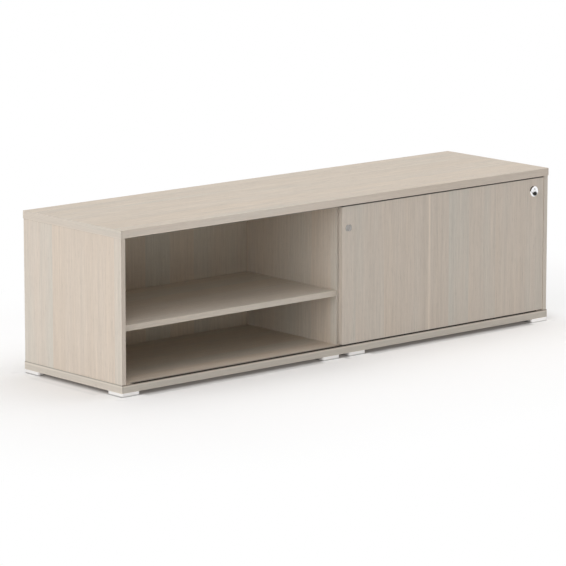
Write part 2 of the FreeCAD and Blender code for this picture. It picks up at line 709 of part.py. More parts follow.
def push_lock():
    place = ("lockPlaceX", "doorFront", "lockPlaceZ")
    end = "doorThick + barrelBeyond"
    bore = "plungerDiameter / 2 + lockRunGap"
    latch_bore = "latchDiameter / 2 + lockRunGap"
    rosette = new_body("lock_rosette")
    turned(rosette, [
        (bore, "-(rosetteThick)"),
        ("rosetteDiameter / 2 - rosetteBevel", "-(rosetteThick)"),
        ("rosetteDiameter / 2", "rosetteBevel - rosetteThick"),
        ("rosetteDiameter / 2", "0"),
        ("barrelDiameter / 2", "0"),
        ("barrelDiameter / 2", end),
        (latch_bore, end),
        (latch_bore, end + " - barrelFloor"),
        (bore, end + " - barrelFloor"),
    ])
    move_to(rosette, *place)
    keep(rosette, "lock_rosette")

    plunger = new_body("lock_plunger")
    face = "-(rosetteThick) - plungerProud"
    plug_bore = "plugDiameter / 2 + lockRunGap"
    turned(plunger, [
        (plug_bore, face),
        ("plungerDiameter / 2 - plungerBevel", face),
        ("plungerDiameter / 2", face + " + plungerBevel"),
        ("plungerDiameter / 2", "plungerBody"),
        ("latchDiameter / 2", "plungerBody"),
        ("latchDiameter / 2", end + " - latchHidden"),
        ("0", end + " - latchHidden"),
        ("0", face + " + plugLength"),
        (plug_bore, face + " + plugLength"),
    ])
    move_to(plunger, *place)
    keep(plunger, "lock_plunger")

    plug = new_body("lock_key_plug")
    turned(plug, [
        ("0", face),
        ("plugDiameter / 2", face),
        ("plugDiameter / 2", face + " + plugLength"),
        ("0", face + " + plugLength"),
    ])
    key_slot = sketch_on(plug, "XZ_Plane", "rosetteThick + plungerProud")
    rectangle(key_slot, "-(keySlotWide) / 2", "-(keySlotTall) / 2", "keySlotWide / 2", "keySlotTall / 2")
    pocket(plug, key_slot, "keySlotDeep")
    move_to(plug, *place)
    keep(plug, "lock_key_plug")

    nut = new_body("lock_nut")
    turned(nut, [
        ("barrelDiameter / 2 + fitGap / 2", "doorThick"),
        ("nutDiameter / 2", "doorThick"),
        ("nutDiameter / 2", "doorThick + nutThick"),
        ("barrelDiameter / 2 + fitGap / 2", "doorThick + nutThick"),
    ])
    move_to(nut, *place)
    keep(nut, "lock_nut")


def lock_strike():
    # Bent steel angle on the right side panel; its arm stands behind the closed door.
    body = new_body("lock_strike")
    plan = sketch_on(body, "XY_Plane")
    outline(plan, [
        ("-(strikeArm)", "0"),
        ("0", "0"),
        ("0", "strikeLeg"),
        ("-(strikeThick)", "strikeLeg"),
        ("-(strikeThick)", "strikeThick"),
        ("-(strikeArm)", "strikeThick"),
    ])
    pad(body, plan, "strikeHigh")
    latch_hole = sketch_on(body, "XZ_Plane", "0")
    circle(latch_hole, "lockPlaceX - innerWall", "strikeHigh / 2", "strikeHole")
    pocket(body, latch_hole, "strikeThick")
    screw_holes = sketch_on(body, "YZ_Plane", "0")
    for share in screw_shares:
        circle(screw_holes, "strikeScrewFromBend", "strikeHigh / 2 + (%d) * strikeScrewSpacing / 2" % share,
               "strikeScrewShank + fitGap")
    pocket(body, screw_holes, "strikeThick")
    move_to(body, "innerWall", "strikeFront", "lockPlaceZ - strikeHigh / 2")
    keep(body, "lock_strike")

    screw = stacked_rounds("strikeScrew", [
        ("strikeScrewHead", "strikeScrewHeadThick"),
        ("strikeScrewShank", "strikeScrewLength"),
    ])
    places = []
    for share in screw_shares:
        places.append(("innerWall - strikeThick - strikeScrewHeadThick", "strikeFront + strikeScrewFromBend",
                       "lockPlaceZ + (%d) * strikeScrewSpacing / 2" % share))
    copies("strike_screws", screw, places, lay_along_x)


# Feet

def feet():
    # Moulded foot, open below: walls, a screw boss and crossed ribs under a flat roof.
    foot = new_body("foot")
    plan = sketch_on(foot, "XY_Plane")
    rectangle(plan, "0", "0", "footSide", "footSide")
    block = pad(foot, plan, "footHigh")
    document.recompute()
    corners = upright_edges(block.Shape)
    rounding = foot.newObject("PartDesign::Fillet", "footRounding")
    rounding.Base = (block, corners)
    bind(rounding, {"Radius": "footRound"})
    hollow = sketch_on(foot, "XY_Plane", "0")
    rectangle(hollow, "footWall", "footWall", "footSide - footWall", "footSide - footWall")
    circle(hollow, "footSide / 2", "footSide / 2", "footBoss")
    pocket(foot, hollow, "footHigh - footRoof", backwards=True)
    boss_ends = sketch_on(foot, "XY_Plane", "0")
    circle(boss_ends, "footSide / 2", "footSide / 2", "footBoss")
    pocket(foot, boss_ends, "footBossRise", backwards=True)
    across = ("footSide / 2 - footRib / 2", "footSide / 2 + footRib / 2")
    whole = ("footWall / 2", "footSide - footWall / 2")
    for left, low, right, high in (
        (across[0], whole[0], across[1], whole[1]),
        (whole[0], across[0], whole[1], across[1]),
    ):
        rib = sketch_on(foot, "XY_Plane", "footBossRise")
        rectangle(rib, left, low, right, high)
        pad(foot, rib, "footHigh - footRoof - footBossRise")
    screw_holes = sketch_on(foot, "XY_Plane", "0")
    circle(screw_holes, "footSide / 2", "footSide / 2", "footScrewShank + fitGap")
    pocket(foot, screw_holes, "footHigh", backwards=True)
    copies("feet", foot, [(x, y, "0") for x, y in foot_places])

    screw = stacked_rounds("footScrew", [
        ("footScrewHead", "footScrewHeadThick"),
        ("footScrewShank", "footScrewLength"),
    ])
    level = "footBossRise - footScrewHeadThick"
    copies("foot_screws", screw, [(x, y, level) for x, y in foot_screw_places])


def upright_edges(shape):
    found = []
    for number, edge in enumerate(shape.Edges, start=1):
        rise = edge.BoundBox.ZLength
        if rise > edge.BoundBox.XLength and rise > edge.BoundBox.YLength:
            found.append("Edge" + str(number))
    return found


def write_pieces():
    document.recompute()
    for item in document.Objects:
        if "Invalid" in item.State or "Error" in item.State:
            raise RuntimeError(item.Name + " failed: " + str(item.State))
    for item in pieces:
        if item.Shape.isNull() or not item.Shape.isValid():
            raise RuntimeError(item.Label + " has no valid shape")
    os.makedirs("parts", exist_ok=True)
    for item in pieces:
        item.Shape.exportStep("parts/" + item.Label + ".step")
        print(item.Label, len(item.Shape.Solids), round(item.Shape.Volume))


fill_sheet()
deck("top_panel", "ceilingLevel", faces_up=False)
deck("bottom_panel", "deckUnder", faces_up=True)
deck_bands("top_edge_bands", "ceilingLevel")
deck_bands("bottom_edge_bands", "deckUnder")
walls()
back_board()
shelves()
joint_fittings()
door_board()
door_bands()
track("bottom_track", "floorLevel - trackDeep")
track("top_track", "ceilingLevel + trackDeep", turn_about_x)
rollers()
guides()
buffers()
finger_pull()
push_lock()
lock_strike()
feet()
write_pieces()
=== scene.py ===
import math

import bmesh
import bpy
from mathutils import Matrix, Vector


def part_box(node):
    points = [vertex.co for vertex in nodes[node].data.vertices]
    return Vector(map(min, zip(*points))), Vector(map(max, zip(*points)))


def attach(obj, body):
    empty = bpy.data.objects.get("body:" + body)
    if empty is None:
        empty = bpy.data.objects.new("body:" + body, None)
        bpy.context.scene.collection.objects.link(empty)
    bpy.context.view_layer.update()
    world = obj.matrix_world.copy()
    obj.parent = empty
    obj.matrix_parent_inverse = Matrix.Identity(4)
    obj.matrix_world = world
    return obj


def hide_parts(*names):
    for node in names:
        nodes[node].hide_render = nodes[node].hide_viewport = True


# Low sideboard in pale wood-grain laminate: open bay on the left, sliding door on the right.
# Metres, X along the length, Y to the back, Z up, floor at 0.

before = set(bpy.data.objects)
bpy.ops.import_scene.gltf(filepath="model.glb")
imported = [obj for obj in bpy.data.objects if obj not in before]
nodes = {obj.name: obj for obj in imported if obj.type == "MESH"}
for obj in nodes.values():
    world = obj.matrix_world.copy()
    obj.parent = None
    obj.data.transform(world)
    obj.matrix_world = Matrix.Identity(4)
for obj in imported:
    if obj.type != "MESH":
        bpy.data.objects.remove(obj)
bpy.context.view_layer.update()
print("frame loaded:", len(nodes), "CAD nodes")


# Camera

cameraView = {
    "place": (-8.019511, -9.118623, 2.525704),
    "turn": 0.852418,      # heading from +X towards +Y, radians
    "tilt": -0.188902,     # downwards
    "lens": 246.46,
    "sensor": 36,          # wide, in the lens's own millimetres
    "clip": (0.1, 200),
}


def makeCamera():
    data = bpy.data.cameras.new("productCamera")
    data.sensor_width = cameraView["sensor"]
    data.lens = cameraView["lens"]
    data.clip_start, data.clip_end = cameraView["clip"]
    camera = bpy.data.objects.new("productCamera", data)
    turn, tilt = cameraView["turn"], cameraView["tilt"]
    look = Vector((math.cos(turn) * math.cos(tilt), math.sin(turn) * math.cos(tilt), math.sin(tilt)))
    camera.location = cameraView["place"]
    camera.rotation_mode = "QUATERNION"
    camera.rotation_quaternion = look.to_track_quat("-Z", "Y")
    bpy.context.scene.collection.objects.link(camera)
    bpy.context.scene.camera = camera


# Node helpers

def addNode(tree, kind, **settings):
    node = tree.nodes.new(kind)
    for name, value in settings.items():
        setattr(node, name, value)
    return node


def feed(tree, sockets, values):
    # By name or by number: a link where the value is a socket, and otherwise a plain number or colour
    for name, value in values.items():
        if isinstance(value, bpy.types.NodeSocket):
            tree.links.new(value, sockets[name])
        else:
            sockets[name].default_value = value


def wired(tree, kind, inputs, **settings):
    # A new node with its inputs fed; gives its outputs
    node = addNode(tree, kind, **settings)
    feed(tree, node.inputs, inputs)
    return node.outputs


def maths(tree, operation, first, second=0.0):
    return wired(tree, "ShaderNodeMath", {0: first, 1: second}, operation=operation)[0]


def plus(tree, first, second):
    return maths(tree, "ADD", first, second)


def minus(tree, first, second):
    return maths(tree, "SUBTRACT", first, second)


def times(tree, first, second):
    return maths(tree, "MULTIPLY", first, second)


def vectorMaths(tree, operation, first, second=(0, 0, 0)):
    made = wired(tree, "ShaderNodeVectorMath", {0: first, 1: second}, operation=operation)
    return made["Value" if operation in ("DOT_PRODUCT", "LENGTH") else "Vector"]


def scaled(tree, vector, factor):
    return wired(tree, "ShaderNodeVectorMath", {0: vector, "Scale": factor}, operation="SCALE")["Vector"]


def parts(tree, vector):
    return wired(tree, "ShaderNodeSeparateXYZ", {0: vector})


def joined(tree, first, second, third):
    return wired(tree, "ShaderNodeCombineXYZ", {0: first, 1: second, 2: third})[0]


def remap(tree, value, low, high, newLow=0.0, newHigh=1.0, smooth=False):
    inputs = dict(enumerate((value, low, high, newLow, newHigh)))
    kind = "SMOOTHSTEP" if smooth else "LINEAR"
    return wired(tree, "ShaderNodeMapRange", inputs, clamp=True, interpolation_type=kind)[0]


def mixColours(tree, factor, first, second):
    return wired(tree, "ShaderNodeMix", {0: factor, 6: first, 7: second}, data_type="RGBA")[2]


def noise(tree, vector, detail=2.0, rough=0.5, scale=1.0, stretch=None):
    # stretch: noise scales along the three axes, in place of one scale for all
    if stretch is not None:
        vector = vectorMaths(tree, "MULTIPLY", vector, stretch)
    inputs = {"Vector": vector, "Scale": scale, "Detail": detail, "Roughness": rough}
    return wired(tree, "ShaderNodeTexNoise", inputs)["Fac"]


noiseSpan = (0.3, 0.7)      # noise values that count as none and as full


def swing(tree, value, amount):
    # A noise value turned into a change round zero
    return times(tree, minus(tree, value, 0.5), amount)


def linear(red, green, blue):
    # 8-bit display values to the linear colour that a shader takes
    def one(value):
        value = value / 255
        return value / 12.92 if value <= 0.04045 else ((value + 0.055) / 1.055) ** 2.4
    return (one(red), one(green), one(blue), 1.0)


def newGroup(name, inputs, outputs, kind="ShaderNodeTree"):
    group = bpy.data.node_groups.new(name, kind)
    for label, socketKind, default in inputs:
        socket = group.interface.new_socket(label, in_out="INPUT", socket_type="NodeSocket" + socketKind)
        if default is not None:
            socket.default_value = default
    for label, socketKind in outputs:
        group.interface.new_socket(label, in_out="OUTPUT", socket_type="NodeSocket" + socketKind)
    entry = addNode(group, "NodeGroupInput")
    leave = addNode(group, "NodeGroupOutput")
    return group, entry.outputs, leave.inputs


def placeGroup(tree, group, values):
    return wired(tree, "ShaderNodeGroup", values, node_tree=group)


def newMaterial(name):
    material = bpy.data.materials.new(name)
    material.use_nodes = True
    tree = material.node_tree
    return material, tree, tree.nodes["Principled BSDF"]


def objectPlace(tree):
    return addNode(tree, "ShaderNodeTexCoord").outputs["Object"]


def gapTo(tree, place, axis, at):
    # Distance from a plane across an axis
    return maths(tree, "ABSOLUTE", minus(tree, parts(tree, place)[axis], at))


def nearPlane(tree, place, axis, at, width):
    # 1 on the plane, falling to 0 at the width
    return remap(tree, gapTo(tree, place, axis, at), 0.0, width, 1.0, 0.0, smooth=True)


def seenDirectly(tree):
    # 1 for what the camera sees by itself, in a mirror or through glass
    path = addNode(tree, "ShaderNodeLightPath").outputs
    direct = maths(tree, "MAXIMUM", path["Is Camera Ray"], path["Is Glossy Ray"])
    return maths(tree, "MAXIMUM", direct, path["Is Transmission Ray"])


def addBump(tree, shader, height, strength, distance):
    bump = wired(tree, "ShaderNodeBump", {"Height": height, "Strength": strength, "Distance": distance})
    feed(tree, shader.inputs, {"Normal": bump["Normal"]})


# Laminate: a printed pale wood, in staves of slightly different tint with long fine grain

laminate = {
    "plain": linear(214, 202, 189),
    "cool": linear(210, 203, 192),
    "warm": linear(215, 201, 186),
    "staves": 10.0,         # per metre across the grain
    "staveShare": 0.6,      # how much of the tint follows the staves
    "wander": 0.004,        # how far the grain lines stray sideways, metres
    # noise scales across and along the grain, per metre
    "driftScale": (2.0, 1.1, 2.0),
    "cloudScale": (13.0, 1.3, 13.0),
    "broadScale": (16.0, 0.4, 16.0),
    "lineScale": (125.0, 2.2, 125.0),
    "hairScale": (420.0, 12.0, 420.0),
    "poreScale": (1300.0, 38.0, 1300.0),
    # strength of the tone bands, of the lines, of the hair-fine grain and of the pores
    "broad": 0.07,
    "lines": 0.26,
    "hair": 0.30,
    "pores": 0.16,
    "poreSpan": (0.62, 0.72),       # noise values between which a pore begins and is full
    "tintSpan": (0.5, 0.15, 0.85),  # no tint, full cool and full warm
    "roughness": (0.44, 0.56),
    "polishSpan": (0.35, 0.65),     # noise values of the lines at its lowest and highest roughness
    "specular": 0.17,
    "emboss": (0.25, 0.00012),      # strength, and depth in metres
    "reliefShare": (0.6, 0.7),      # of the hair-fine grain and of the pores
}


def buildGrainGroup():
    colours = [(label, "Color", laminate[label.lower()]) for label in ("Plain", "Cool", "Warm")]
    group, given, made = newGroup(
        "woodGrain",
        [("Place", "Vector", None)] + colours + [("Streaks", "Float", 1.0)],
        [("Color", "Color"), ("Roughness", "Float"), ("Height", "Float")],
    )
    place = given["Place"]
    drift = swing(group, noise(group, place, stretch=laminate["driftScale"]), 2 * laminate["wander"])
    across, along, depth = parts(group, place)
    strayed = plus(group, across, drift)
    # staves: one random tint each, with a sharp joint between neighbours
    staves = {"Scale": laminate["staves"], "W": plus(group, across, depth)}
    stave = wired(group, "ShaderNodeTexVoronoi", staves, voronoi_dimensions="1D")
    staveTint = wired(group, "ShaderNodeSeparateColor", {0: stave["Color"]})
    grain = joined(group, strayed, along, plus(group, depth, staveTint[2]))
    cloud = remap(group, noise(group, grain, 3.0, 0.55, stretch=laminate["cloudScale"]), *noiseSpan)
    share = laminate["staveShare"]
    tint = plus(group, times(group, staveTint[0], share), times(group, cloud, 1 - share))
    untinted, cool, warm = laminate["tintSpan"]
    colour = mixColours(group, remap(group, tint, untinted, cool), given["Plain"], given["Cool"])
    colour = mixColours(group, remap(group, tint, untinted, warm), colour, given["Warm"])
    # tone bands, then lines a few millimetres wide, then hair-fine grain and short pores
    broad = noise(group, grain, stretch=laminate["broadScale"])
    line = noise(group, grain, 3.0, 0.65, stretch=laminate["lineScale"])
    hair = noise(group, grain, 3.0, 0.6, stretch=laminate["hairScale"])
    pore = remap(group, noise(group, grain, 1.0, stretch=laminate["poreScale"]), *laminate["poreSpan"])
    level = swing(group, broad, laminate["broad"])
    level = plus(group, level, swing(group, line, laminate["lines"]))
    level = plus(group, level, swing(group, hair, laminate["hair"]))
    level = minus(group, level, times(group, pore, laminate["pores"]))
    level = plus(group, times(group, level, given["Streaks"]), 1.0)
    polish = remap(group, line, *laminate["polishSpan"], *laminate["roughness"])
    hairShare, poreShare = laminate["reliefShare"]
    relief = minus(group, times(group, hair, hairShare), times(group, pore, poreShare))
    feed(group, made, {"Color": scaled(group, colour, level), "Roughness": polish, "Height": relief})
    return group


# Edge wear and painted highlight: a mask along the edges of a board's box, broken up by noise, where the
# colour is lightened partly as wear and partly as a painted highlight

edgeWearAndHighlight = {
    "width": 0.0015,
    "amount": 0.6,
    "patchScale": 55.0,         # per metre
    "patchSpan": (0.42, 0.62),
    "lighten": 1.12,
    "roughen": 0.08,
}


def buildWearAndHighlightGroup():
    group, given, made = newGroup(
        "edgeWearAndHighlight",
        [
            ("Place", "Vector", None),
            ("Middle", "Vector", None),
            ("Half", "Vector", None),
            ("Width", "Float", edgeWearAndHighlight["width"]),
            ("Amount", "Float", edgeWearAndHighlight["amount"]),
        ],
        [("Mask", "Float")],
    )
    offset = vectorMaths(group, "ABSOLUTE", vectorMaths(group, "SUBTRACT", given["Place"], given["Middle"]))
    first, second, third = parts(group, vectorMaths(group, "SUBTRACT", offset, given["Half"]))
    # the second largest of the three is near nought only along an edge
    middle = maths(group, "MAXIMUM", maths(group, "MINIMUM", first, second),
                   maths(group, "MINIMUM", maths(group, "MAXIMUM", first, second), third))
    near = remap(group, middle, times(group, given["Width"], -1.0), 0.0, smooth=True)
    patches = noise(group, given["Place"], 3.0, 0.6, edgeWearAndHighlight["patchScale"])
    patches = remap(group, patches, *edgeWearAndHighlight["patchSpan"])
    feed(group, made, {"Mask": times(group, times(group, near, patches), given["Amount"])})
    return group


grainGroup = buildGrainGroup()
wearAndHighlightGroup = buildWearAndHighlightGroup()


def grainPlace(tree, along, offset):
    # Turns the object's own coordinates so that the grain runs along the named axis
    source = parts(tree, objectPlace(tree))
    order = {"X": (1, 0, 2), "Y": (0, 1, 2), "Z": (0, 2, 1)}[along]
    turned = joined(tree, *(source[index] for index in order))
    return vectorMaths(tree, "ADD", turned, offset)


faceReach = 0.003       # how deep a shade that is limited to a face goes


def laminateMaterial(name, box, along, offset, tone=(1, 1, 1), streaks=1.0, ends=None, shades=()):
    # shades: (axis, place, half width, amount) lines of painted shade and painted highlight, of the print's
    # streaks and of dark joints, where an amount over 0 darkens and one under 0 lightens, and a further
    # (axis, place) limits the line to that face
    material, tree, shader = newMaterial(name)
    place = objectPlace(tree)
    spot = grainPlace(tree, along, offset)
    if ends:
        # the short bands at the ends have their own grain direction
        axis, middle, reach, endAlong = ends
        outside = maths(tree, "GREATER_THAN", gapTo(tree, place, axis, middle), reach)
        inputs = {0: outside, 4: spot, 5: grainPlace(tree, endAlong, offset)}
        spot = wired(tree, "ShaderNodeMix", inputs, data_type="VECTOR")[1]
    grain = placeGroup(tree, grainGroup, {"Place": spot, "Streaks": streaks})
    low, high = (Vector(corner) for corner in box)
    middle, half = (low + high) / 2, (high - low) / 2
    wearAndHighlight = placeGroup(tree, wearAndHighlightGroup, {"Place": place, "Middle": middle, "Half": half})
    colour = vectorMaths(tree, "MULTIPLY", grain["Color"], tone)
    level = 1.0
    for axis, at, width, amount, *face in shades:
        change = times(tree, nearPlane(tree, place, axis, at, width), amount)
        for faceAxis, faceAt in face:
            change = times(tree, nearPlane(tree, place, faceAxis, faceAt, faceReach), change)
        level = times(tree, minus(tree, 1.0, change), level)
    colour = scaled(tree, colour, level)
    # edges lightened, partly as wear and partly as a painted highlight
    colour = mixColours(tree, wearAndHighlight["Mask"], colour, scaled(tree, colour, edgeWearAndHighlight["lighten"]))
    rough = plus(tree, grain["Roughness"], times(tree, wearAndHighlight["Mask"], edgeWearAndHighlight["roughen"]))
    feed(tree, shader.inputs, {"Base Color": colour, "Roughness": rough,
                               "Specular IOR Level": laminate["specular"]})
    addBump(tree, shader, grain["Height"], *laminate["emboss"])
    return material


# Moulded plastic: fine grit, a soft cloudy tone and scuffs

moulded = {
    # edge: a band of painted light and shade, by axis, place, half width and amount: on the foot a painted
    # contact shadow at its base, on the track a pale rear part fading to the dark front lip, as painted light
    # falling into the channel
    "foot": {"colour": linear(244, 241, 239), "roughness": 0.42, "grit": 2600.0,
             "edge": (2, 0.0, 0.0055, 0.8), "edgeColour": linear(96, 96, 95),
             # painted light: the foot glows as a stand-in for the light thrown up by the floor in front:
             # axis, place, half width and strength, and then from which X to which X it grows, and how many
             # times
             "glow": (1, -0.24, 0.004, 0.13), "glowGrows": (0.3, 0.85, 2.2)},
    "track": {"colour": linear(24, 18, 14), "roughness": 0.66, "grit": 1800.0, "specular": 0.12,
              "edge": (1, -0.2213, 0.0145, 1.0), "edgeColour": linear(205, 193, 180)},
    "guide": {"colour": linear(60, 58, 56), "roughness": 0.5, "grit": 2200.0},
    "roller": {"colour": linear(214, 212, 204), "roughness": 0.38, "grit": 2600.0},
    "buffer": {"colour": linear(196, 197, 194), "roughness": 0.6, "grit": 2600.0},
    "cap": {"colour": linear(208, 198, 184), "roughness": 0.46, "grit": 2600.0},
}
skin = {
    "cloudScale": 38.0,                 # per metre
    "scuffScale": (90.0, 400.0, 240.0),
    "scuffSpan": (0.58, 0.74),
    "level": (0.95, 0.10, 0.05),        # plain tone, what the clouds add and what the scuffs take off
    "roughness": (-0.05, 0.06, 0.1),    # from the material's own: where clear, where cloudy, and on scuffs
    "bump": (0.2, 0.00005),             # strength, and depth in metres
}


def buildSkinGroup():
    group, given, made = newGroup(
        "mouldedSkin",
        [
            ("Place", "Vector", None),
            ("Grit", "Float", 2600.0),
            ("Smoothest", "Float", 0.37),
            ("Roughest", "Float", 0.48),
        ],
        [("Level", "Float"), ("Roughness", "Float"), ("Height", "Float")],
    )
    place = given["Place"]
    cloud = noise(group, place, 3.0, 0.5, skin["cloudScale"])
    scuff = remap(group, noise(group, place, 4.0, 0.7, stretch=skin["scuffScale"]), *skin["scuffSpan"])
    plain, clouded, scuffed = skin["level"]
    level = plus(group, plain, times(group, cloud, clouded))
    level = minus(group, level, times(group, scuff, scuffed))
    polish = remap(group, cloud, *noiseSpan, given["Smoothest"], given["Roughest"])
    rough = plus(group, polish, times(group, scuff, skin["roughness"][2]))
    grit = noise(group, place, 2.0, 0.6, given["Grit"])
    feed(group, made, {"Level": level, "Roughness": rough, "Height": grit})
    return group


skinGroup = buildSkinGroup()


def mouldedMaterial(name):
    values = moulded[name]
    material, tree, shader = newMaterial("moulded_" + name)
    place = objectPlace(tree)
    smoothest, roughest = (values["roughness"] + change for change in skin["roughness"][:2])
    surface = placeGroup(tree, skinGroup, {"Place": place, "Grit": values["grit"],
                                           "Smoothest": smoothest, "Roughest": roughest})
    colour = scaled(tree, values["colour"][:3], surface["Level"])
    # painted shade at the foot's base, and painted light over the track's rear part
    if "edge" in values:
        *plane, amount = values["edge"]
        mask = times(tree, nearPlane(tree, place, *plane), amount)
        colour = mixColours(tree, mask, colour, values["edgeColour"])
    # painted light: a glow on the foot, though it is no lamp
    if "glow" in values:
        *plane, strength = values["glow"]
        start, end, growth = values["glowGrows"]
        strength = remap(tree, parts(tree, place)[0], start, end, strength, growth * strength)
        glow = times(tree, nearPlane(tree, place, *plane), strength)
        glow = scaled(tree, values["colour"][:3], glow)
        feed(tree, shader.inputs, {"Emission Color": glow, "Emission Strength": 1.0})
    feed(tree, shader.inputs, {"Base Color": colour, "Roughness": surface["Roughness"],
                               "Specular IOR Level": values.get("specular", 0.5)})
    addBump(tree, shader, surface["Height"], *skin["bump"])
    return material


# Metal: fine lines that change its tone and its roughness a little

metals = {
    # lines: noise scales, per metre
    "chrome": {"colour": linear(250, 250, 251), "roughness": (0.05, 0.12), "lines": (300.0, 300.0, 300.0)},
    "satin": {"colour": linear(160, 157, 154), "roughness": (0.62, 0.74), "metallic": 0.3,
              "lines": (700.0, 60.0, 4000.0)},
    "zinc": {"colour": linear(172, 173, 174), "roughness": (0.36, 0.52), "lines": (160.0, 160.0, 160.0)},
}
brushed = {
    "level": (0.94, 0.12),      # plain tone, and what the lines add
    "bump": (0.08, 0.00004),    # strength, and depth in metres
}


def buildBrushedGroup():
    group, given, made = newGroup(
        "brushedLines",
        [
            ("Place", "Vector", None),
            ("Lines", "Vector", None),
            ("Smoothest", "Float", 0.3),
            ("Roughest", "Float", 0.5),
        ],
        [("Level", "Float"), ("Roughness", "Float"), ("Height", "Float")],
    )
    lines = noise(group, given["Place"], 3.0, 0.6, stretch=given["Lines"])
    plain, added = brushed["level"]
    level = plus(group, plain, times(group, lines, added))
    rough = remap(group, lines, *noiseSpan, given["Smoothest"], given["Roughest"])
    feed(group, made, {"Level": level, "Roughness": rough, "Height": lines})
    return group


brushedGroup = buildBrushedGroup()


def metalMaterial(name, finish=None):
    # finish may change the colour, and is given the tree, the place and the colour so far
    values = metals[name]
    material, tree, shader = newMaterial("metal_" + name + ("_" + finish.__name__ if finish else ""))
    place = objectPlace(tree)
    smoothest, roughest = values["roughness"]
    surface = placeGroup(tree, brushedGroup, {"Place": place, "Lines": values["lines"],
                                              "Smoothest": smoothest, "Roughest": roughest})
    colour = scaled(tree, values["colour"][:3], surface["Level"])
    if finish:
        colour = finish(tree, place, colour)
    feed(tree, shader.inputs, {"Base Color": colour, "Roughness": surface["Roughness"],
                               "Metallic": values.get("metallic", 1.0)})
    addBump(tree, shader, surface["Height"], *brushed["bump"])
    return material


def dress(node, material):
    data = nodes[node].data
    data.materials.clear()
    data.materials.append(material)


# Boards

deckBottom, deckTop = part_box("bottom_panel")[0][2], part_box("bottom_panel")[1][2]
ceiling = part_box("top_panel")[0][2]
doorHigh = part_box("door_edge_bands")[1][2]

boards = {
    # grain axis, a shift that gives each board its own piece of the print, tone, strength of the grain;
    # the tone is partly the board's own tint and partly painted light and shade, for how light falls on it
    "top_panel": ("X", (0.31, 0.2, 0.0), (0.953, 0.944, 0.918), 1.8),
    "bottom_panel": ("X", (1.7, 3.1, 0.4), (0.98, 0.97, 0.95), 1.0),
    "left_side_panel": ("Z", (0.0, 0.0, 20.106), (1, 1, 1), 1.0),
    "right_side_panel": ("Z", (0.0, 1.3, 3.7), (1, 1, 1), 1.0),
    "partition": ("Z", (0.0, 2.9, 5.2), (1.06, 1.07, 1.07), 1.0),
    "back_panel": ("Z", (0.9, 0.6, 1.1), (0.92, 0.93, 0.91), 1.0),
    "open_shelf": ("X", (2.3, 0.9, 0.7), (0.95, 0.98, 1.0), 1.0),
    "closed_shelf": ("X", (3.9, 1.9, 0.2), (1, 1, 1), 1.0),
    "door_panel": ("Z", (0.1725, 0.45, 2.9), (1, 1, 1), 1.0),
}

# Lines of painted shade and painted highlight, with the door's printed streaks and dark joints at the
# corners:
# axis, place, half width, and an amount that darkens, or lightens under nought
# a dark joint with painted shade along the top of each side panel, under the top deck
uprightJointShade = (2, ceiling, 0.002, 0.35)
doorPrint = ((0, 0.367, 0.0075, -0.17), (0, 0.346, 0.022, 0.06), (0, 0.402, 0.05, 0.04))
cornerJoints = ((0, -0.8955, 0.0025, 0.16), (0, 0.8955, 0.0025, 0.16))
boardShades = {
    "left_side_panel": (uprightJointShade,),
    "right_side_panel": (uprightJointShade,),
    "door_panel": doorPrint,
    # painted light on the back panel's inner face, in the lower bay
    "back_panel": ((2, 0.115, 0.14, -0.46, (1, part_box("back_panel")[0][1])),),
    # painted light over the left part of the open shelf
    "open_shelf": ((0, -0.80, 0.50, -0.14),),
}
bandShades = {
    # painted highlight along the lower edge, painted light over the left and middle part, painted shade on
    # the left end
    "topBands": ((2, ceiling, 0.003, -0.13), (0, -0.45, 0.95, -0.13), (0, -0.9, 0.004, 0.085),
                 *cornerJoints),
    # painted shade along the deck's top edge in front and at the left end, painted highlights below it and
    # along the lower edge
    "bottomBands": ((2, deckTop, 0.003, 0.97, (1, -0.24)), (2, deckTop, 0.003, 0.5, (0, -0.9)),
                    (2, deckTop - 0.005, 0.0035, -0.15), (2, deckBottom, 0.004, -0.12), *cornerJoints),
    # painted light on the partition's front band, behind the door's edge
    "uprightBands": ((0, 0.0, 0.011, -0.5),),
    # the print's streaks, and painted shade along the door's top edge
    "doorBands": (*doorPrint, (2, doorHigh, 0.0035, 0.7)),
}


def dressBoards():
    for node, values in boards.items():
        shades = boardShades.get(node, ())
        dress(node, laminateMaterial("laminate_" + node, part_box(node), *values, shades=shades))
    print("boards dressed")


# Edge bands: the CAD bands with their outer edges rounded over, as a trimmer leaves them

bands = {
    # piece: CAD node, where its outer edges are, grain axis, shift, tone (partly the band's own tint and
    # partly painted light and shade), and for the end bands the axis, the middle, how far out they start and
    # their own grain axis
    "topBands": ("top_edge_bands", "whole", "X", (0.31, 0.2, 0.0), (1, 1, 1), (0, 0.0, 0.898, "Y")),
    "bottomBands": ("bottom_edge_bands", "whole", "X", (1.7, 3.1, 0.4), (0.96, 0.96, 0.96),
                    (0, 0.0, 0.898, "Y")),
    "uprightBands": ("upright_edge_bands", "front", "Z", (4.0, 0.7, 0.3), (1, 1, 1), None),
    "shelfBands": ("shelf_edge_bands", "front", "X", (2.3, 0.9, 0.7), (1.02, 1.03, 1.02), None),
    "doorBands": ("door_edge_bands", "whole", "Z", (0.1725, 0.45, 2.9), (1, 1, 1), (2, 0.261, 0.219, "X")),
}
bandEdge = {"radius": 0.001, "segments": 3, "streaks": 0.7}
same = 1e-6             # points nearer than this are one, and nothing is divided by less
levelWithin = 0.3       # faces that lie in one plane within this many degrees are one


